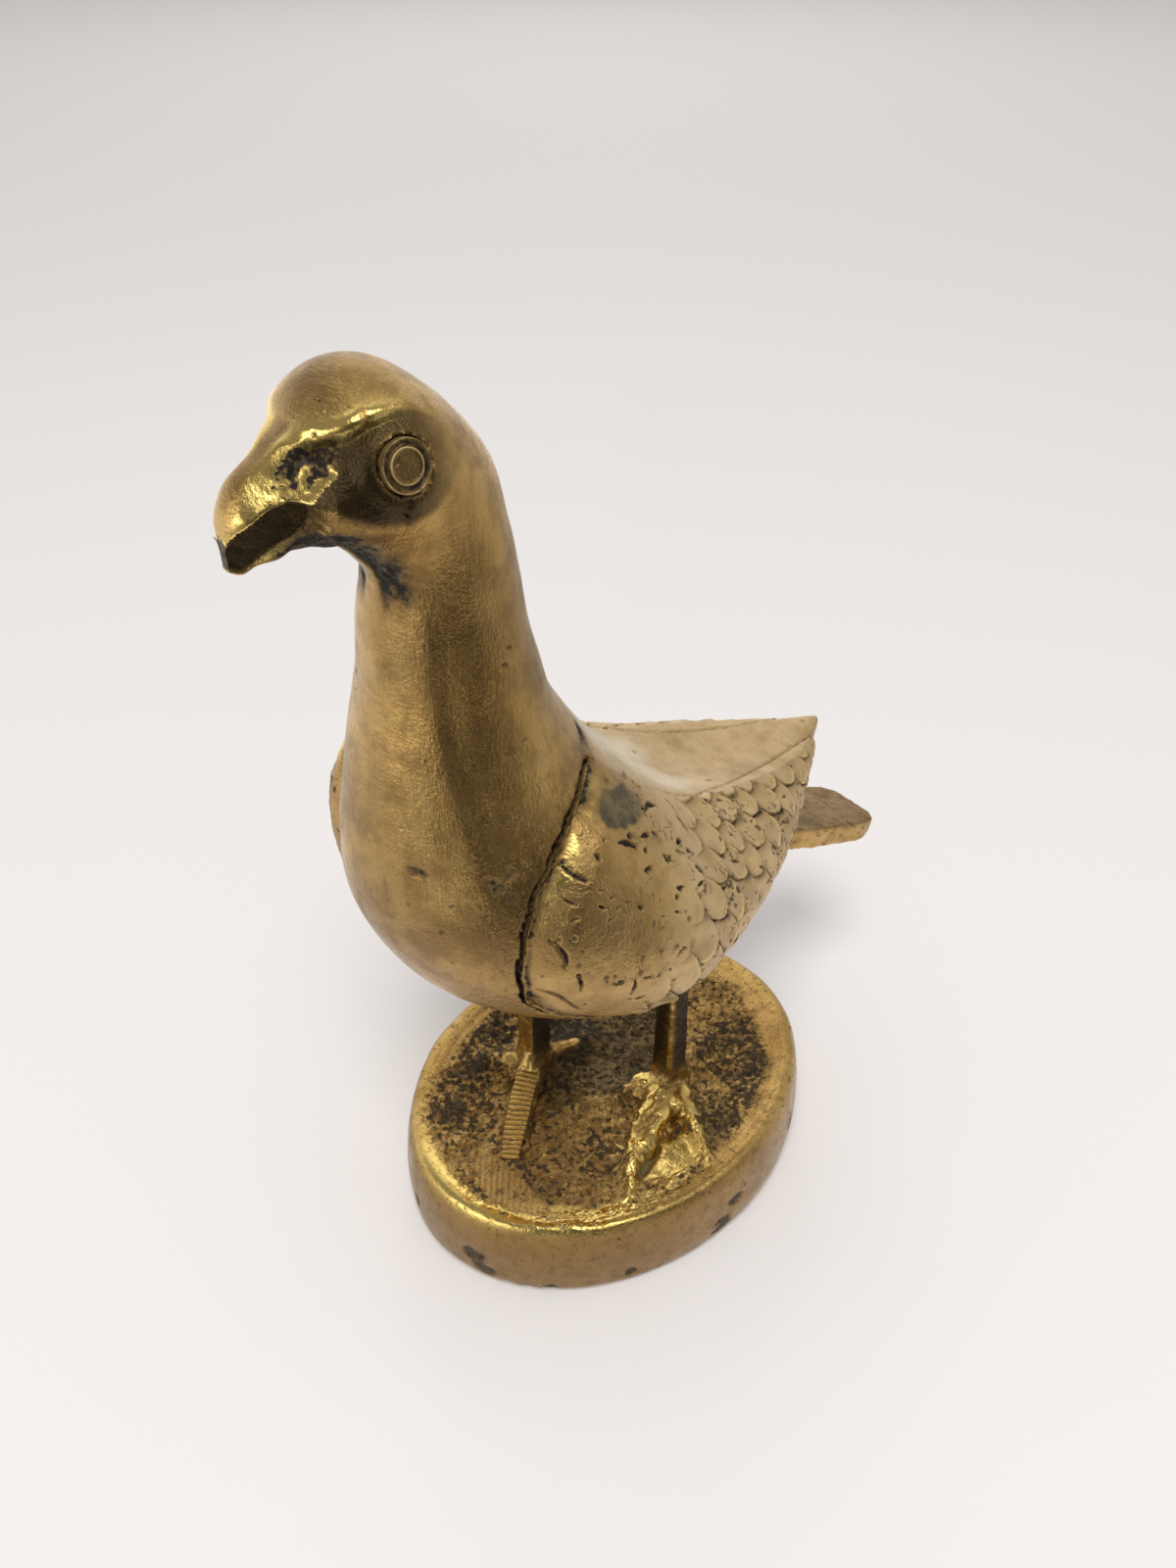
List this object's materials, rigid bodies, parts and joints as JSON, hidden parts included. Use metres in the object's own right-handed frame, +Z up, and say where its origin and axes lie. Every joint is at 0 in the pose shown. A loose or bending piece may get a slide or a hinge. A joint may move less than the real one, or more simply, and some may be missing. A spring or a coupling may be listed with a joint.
{
  "type": "pigeon figurine",
  "caption": "Cast brass pigeon ornament standing upright on an oval base with a rolled rim, with folded scaled wings, blunt tail plate and ringed eyes.",
  "frame": {"origin": "centre of the base's flat underside", "axes": "+Z up out of the base, -Y the way the bird faces, +X the bird's left side"},
  "size_m": [0.048, 0.0888, 0.1188],
  "materials": {
    "base": "aged cast brass, polished rim and wall, rough dark as-cast floor",
    "body": "hand-polished cast brass with brown tarnish and fine pits",
    "left_wing": "satin cast brass with punched marks and feather scales",
    "right_wing": "satin cast brass with punched marks and feather scales",
    "tail": "dull brushed brass",
    "left_leg": "filed cast brass, burnished on the toes",
    "right_leg": "filed cast brass with file strokes across the toe",
    "left_leg_screw": "turned brass screw",
    "right_leg_screw": "turned brass screw",
    "left_eye": "turned brass stud, rubbed bright on the ring",
    "right_eye": "turned brass stud, rubbed bright on the ring"
  },
  "bodies": {
    "root": {"base": "base", "body": "body", "left_wing": "left_wing", "right_wing": "right_wing", "tail": "tail", "left_leg": "left_leg", "right_leg": "right_leg", "left_leg_screw": "left_leg_screw", "right_leg_screw": "right_leg_screw", "left_eye": "left_eye", "right_eye": "right_eye"}
  },
  "joints": []
}
